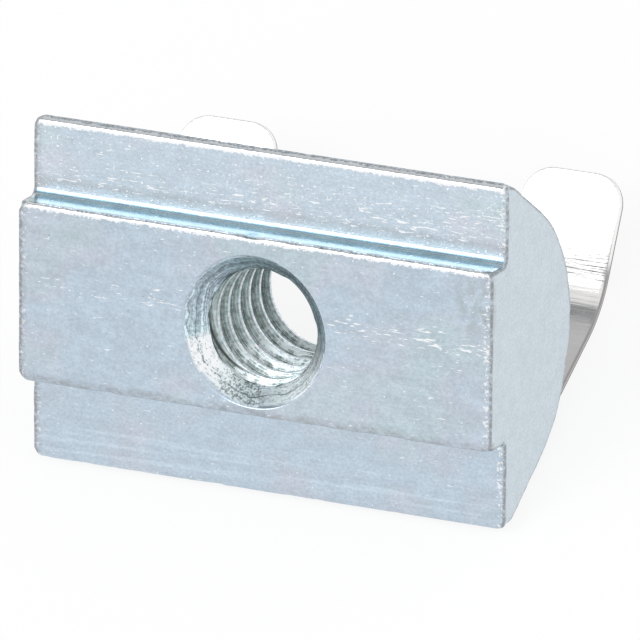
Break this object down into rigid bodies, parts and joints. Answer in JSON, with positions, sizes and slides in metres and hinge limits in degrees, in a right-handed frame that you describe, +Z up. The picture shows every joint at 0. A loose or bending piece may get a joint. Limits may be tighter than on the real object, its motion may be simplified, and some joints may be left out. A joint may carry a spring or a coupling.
{
  "type": "t slot nut",
  "caption": "Roll-in T-slot nut: drawn bar with arched back, guide rail and countersunk through thread, with a folded leaf spring welded to its lower flank",
  "frame": {"origin": "on the floor, under the middle of the bounding box, with the nut lying as it comes to rest on its leaf spring", "axes": "+X along the nut's length, +Y towards the spring's tongues, +Z up; the guide rail faces -Y and up"},
  "size_m": [0.0222, 0.0176, 0.0133],
  "materials": {
    "zinc_plated_steel": "bright blue-white zinc plating over drawn and tumbled steel",
    "spring_steel": "bright rolled stainless spring sheet"
  },
  "bodies": {
    "root": {"nut_body": "zinc_plated_steel", "leaf_spring": "spring_steel"}
  },
  "joints": []
}
